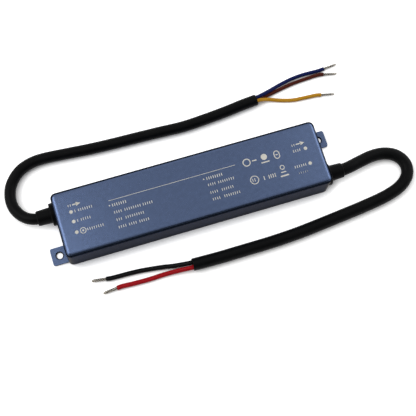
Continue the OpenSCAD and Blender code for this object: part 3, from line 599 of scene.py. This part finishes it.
# Rows of ticks, in groups: x, y, the groups' lengths, a tick's height and width
TICK_ROWS = (
    # Mains end
    (-89.3, 11.9, (3,), 1.7, 0.5),
    (-85.6, 7.2, (1, 10.5), 2, 0.5),
    (-85.6, -0.1, (1, 8), 2, 0.5),
    (-80.4, -8.2, (13,), 2, 0.5),
    # Input block
    (-58.9, 3.7, (10.6,), 2.2, 0.55),
    (-58.9, -1.9, (6, 12, 8.6), 2, 0.5),
    (-58.7, -7.6, (5, 15), 2, 0.5),
    (-58.7, -13.2, (6, 6, 8), 2, 0.5),
    # Output block
    (11.6, 3.5, (13.4,), 2.2, 0.55),
    (11.4, -1.5, (6, 13), 2, 0.5),
    (11.3, -7.5, (7, 10), 2, 0.5),
    (11.6, -12.7, (7, 12), 2, 0.5),
    # Plain figures
    (43.2, -7.4, (3,), 2.4, 0.5),
    (51.7, -8, (2, 6), 3, 0.6),
    # Output end
    (78.8, 9.7, (3,), 1.7, 0.5),
    (78.6, 5.2, (7,), 2, 0.5),
    (76, -6.6, (9,), 2, 0.5),
    (77.4, -11.8, (8,), 1.6, 0.3),
)

# Bars and arrows: x, y, length, thickness
BARS = (
    (-60.6, 7.5, 95.3, 0.32), (47.2, 6.8, 3.6, 0.9), (53.4, 3.4, 6.4, 0.9), (65.2, 6.4, 2, 0.7),
    (65, -7.6, 4, 0.8), (63.8, -10.4, 6.4, 1.1),
)
ARROWS = ((-86.2, 12, 6, 0.9), (82, 9.8, 6.6, 0.9))

# Dots: x, y, diameter
DOTS = (
    (-88.2, 7.2, 2.6), (-88.2, -0.1, 2.6), (-88.2, -8.2, 2.6), (-83.5, -8.2, 1.4), (-60.8, 3.9, 1),
    (9.5, 3.6, 1), (56.6, 7.4, 4.6), (88, 5.1, 2.6), (87.7, -6.7, 2.6),
)

# Rings: x, y, diameter, line. Frames with round corners: x, y, width, height, corner, line.
RINGS = ((-83.5, -8.2, 4.6, 0.5), (43.2, 6.8, 6, 0.75), (44.8, -7.4, 6.6, 0.6), (67, -4, 3.6, 0.6))
ROUND_FRAMES = ((66.2, 6.4, 4.4, 6.4, 2.19, 0.65),)


def add_flat(mesh, outline):
    """A face that looks up, just above the top."""
    face = mesh.faces.new([mesh.verts.new((x * MM, y * MM, TOP + PRINT_HEIGHT)) for x, y in outline])
    face.normal_update()
    if face.normal.z < 0:
        face.normal_flip()


def circle(x, y, diameter):
    """Points round a circle."""
    r = diameter / 2
    turns = [2 * math.pi * k / CIRCLE_POINTS for k in range(CIRCLE_POINTS)]
    return [(x + r * math.cos(turn), y + r * math.sin(turn)) for turn in turns]


def loop_round(x, y, width, height, corner, count=ARC_STEPS):
    """Points round a rectangle with round corners."""
    points = []
    for i, (sx, sy) in enumerate(((1, 1), (-1, 1), (-1, -1), (1, -1))):
        cx, cy = x + sx * (width / 2 - corner), y + sy * (height / 2 - corner)
        for k in range(count + 1):
            turn = math.pi / 2 * (i + k / count)
            points.append((cx + corner * math.cos(turn), cy + corner * math.sin(turn)))
    return points


def line_between(mesh, outer, inner):
    """A closed line whose edges are two loops with as many points."""
    for k in range(len(outer)):
        n = (k + 1) % len(outer)
        add_flat(mesh, [outer[k], outer[n], inner[n], inner[k]])


def bar(mesh, x, y, length, height):
    """A bar with round ends, from x along to x + length, about the line y."""
    r = height / 2
    turns = [math.pi * (k / ARC_STEPS - 0.5) for k in range(ARC_STEPS + 1)]
    start = [(x + r - r * math.cos(turn), y + r * math.sin(turn)) for turn in turns]
    end = [(x + length - r + r * math.cos(turn), y + r * math.sin(turn)) for turn in reversed(turns)]
    add_flat(mesh, start + end)


def arrow(mesh, x, y, length, height):
    """An arrow from x along to x + length, about the line y."""
    neck = x + length - ARROW_HEAD
    bar(mesh, x, y, length - ARROW_HEAD + ARROW_LAP, height)
    add_flat(mesh, [(x + length, y), (neck, y + ARROW_HALF), (neck, y - ARROW_HALF)])


def ticks(mesh, x, y, lengths, height, width):
    """A row of groups of even upright ticks, from x on and about the line y."""
    for length in lengths:
        for k in range(max(1, round(length / TICK_PITCH))):
            middle = x + k * TICK_PITCH + width / 2
            add_flat(mesh, loop_round(middle, y, width, height, TICK_CORNER, TICK_ARC_STEPS))
        x += length + TICK_PITCH


def make_print():
    mesh = bmesh.new()
    for row in TICK_ROWS:
        ticks(mesh, *row)
    for row in BARS:
        bar(mesh, *row)
    for row in ARROWS:
        arrow(mesh, *row)
    for row in DOTS:
        add_flat(mesh, circle(*row))
    for x, y, diameter, line in RINGS:
        line_between(mesh, circle(x, y, diameter), circle(x, y, diameter - 2 * line))
    for x, y, width, height, corner, line in ROUND_FRAMES:
        outer = loop_round(x, y, width, height, corner)
        inner = loop_round(x, y, width - 2 * line, height - 2 * line, corner - line)
        line_between(mesh, outer, inner)
    new_piece("top_print", mesh, ink, smooth=False)


# Studio

# The floor glows white where it is seen, and less where the air close above it isn't open. That is measured
# about a line that leans from upright towards SHADOW_FROM, so that the shadow falls to the other side.
FLOOR_SIZE = 14
FLOOR_COLOUR = (0.9, 0.9, 0.9, 1)
FLOOR_ROUGHNESS = 0.9
FLOOR_SPECULAR = 0.1
FLOOR_GLOW = 0.7
CONTACT_REACH = 8 * MM
CONTACT_RANGE = (0.25, 0.85)
CONTACT_SAMPLES = 16
SHADOW_FROM = math.radians(145)
SHADOW_LEAN = math.radians(32)

# The world: a white backdrop up to a height where it fades out, tilted, and the dim light of the room
WHITE = (1, 1, 1, 1)
BACKDROP_TOP = math.radians(36)
BACKDROP_FADE = math.radians(45)
BACKDROP_TILT = math.radians(15)
ROOM_LIGHT = 0.06

# Lights, in metres: place, what it faces, width, height, radiance
LIGHTS = {
    "overhead": ((0.35, 0, 2), (0.35, 0, 0), 2.3, 3, 0.74),
    "left_key": ((-0.55, 0.35, 2), (0, 0, 0), 0.6, 0.6, 3.1),
    "right_key": ((0.95, 0.5, 2), (0, 0, 0), 0.6, 0.6, 1.2),
    "left": ((-1.03, 0.35, 1.08), (0, 0, 0.02), 1.3, 0.76, 3.2),
    "right": ((1.23, 0.35, 0.86), (0, 0, 0.02), 1.4, 0.62, 2.7),
}


def seen_rays(tree):
    """1 for the rays that show a background: the camera's, and those in reflections and glass."""
    rays = add(tree, "ShaderNodeLightPath").outputs
    mirrored = maths(tree, "MAXIMUM", rays["Is Glossy Ray"], rays["Is Transmission Ray"])
    return maths(tree, "MAXIMUM", rays["Is Camera Ray"], mirrored)


def floor_material():
    material, tree, shader = new_material("floor")
    shader.inputs["Base Color"].default_value = FLOOR_COLOUR
    shader.inputs["Roughness"].default_value = FLOOR_ROUGHNESS
    shader.inputs["Specular IOR Level"].default_value = FLOOR_SPECULAR
    shader.inputs["Emission Color"].default_value = WHITE
    side = math.sin(SHADOW_LEAN)
    leaning = add(
        tree, "ShaderNodeCombineXYZ", X=side * math.cos(SHADOW_FROM), Y=side * math.sin(SHADOW_FROM),
        Z=math.cos(SHADOW_LEAN))
    open_air = add(tree, "ShaderNodeAmbientOcclusion", samples=CONTACT_SAMPLES, Distance=CONTACT_REACH)
    tree.links.new(leaning.outputs["Vector"], open_air.inputs["Normal"])
    glow = ranged(tree, open_air.outputs["AO"], *CONTACT_RANGE, 0, FLOOR_GLOW)
    tree.links.new(maths(tree, "MULTIPLY", seen_rays(tree), glow), shader.inputs["Emission Strength"])
    return material


def make_floor():
    mesh = bmesh.new()
    bmesh.ops.create_grid(mesh, x_segments=1, y_segments=1, size=FLOOR_SIZE)
    data = bpy.data.meshes.new("floor")
    mesh.to_mesh(data)
    mesh.free()
    data.materials.append(floor_material())
    floor = bpy.data.objects.new("floor", data)
    scene.collection.objects.link(floor)


def make_world():
    """A dim room, with a white backdrop all round that stands higher behind the object than before it."""
    world = bpy.data.worlds.new("studio")
    world.use_nodes = True
    tree = world.node_tree
    background = tree.nodes["Background"]
    background.inputs["Color"].default_value = WHITE
    height = add(tree, "ShaderNodeVectorMath", operation="DOT_PRODUCT")
    tree.links.new(add(tree, "ShaderNodeTexCoord").outputs["Generated"], height.inputs[0])
    height.inputs[1].default_value = (0, -math.sin(BACKDROP_TILT), math.cos(BACKDROP_TILT))
    backdrop = ranged(tree, height.outputs["Value"], math.sin(BACKDROP_FADE), math.sin(BACKDROP_TOP))
    strength = add(tree, "ShaderNodeMath", operation="MAXIMUM")
    strength.inputs[0].default_value = ROOM_LIGHT
    tree.links.new(maths(tree, "MULTIPLY", seen_rays(tree), backdrop), strength.inputs[1])
    tree.links.new(strength.outputs[0], background.inputs["Strength"])
    scene.world = world


def make_light(name, place, target, width, height, radiance):
    """A soft rectangle of light, facing target."""
    data = bpy.data.lights.new(name, "AREA")
    data.shape = "RECTANGLE"
    data.size = width
    data.size_y = height
    data.energy = radiance * width * height * math.pi
    light = bpy.data.objects.new(name, data)
    aim = Vector(target) - Vector(place)
    light.matrix_world = Matrix.Translation(place) @ aim.to_track_quat("-Z", "Y").to_matrix().to_4x4()
    scene.collection.objects.link(light)


def make_studio():
    make_floor()
    make_world()
    for name, facts in LIGHTS.items():
        make_light(name, *facts)
    scene.view_settings.view_transform = "Standard"


make_camera()
make_cords()
paint_cad_nodes()
make_print()
make_studio()
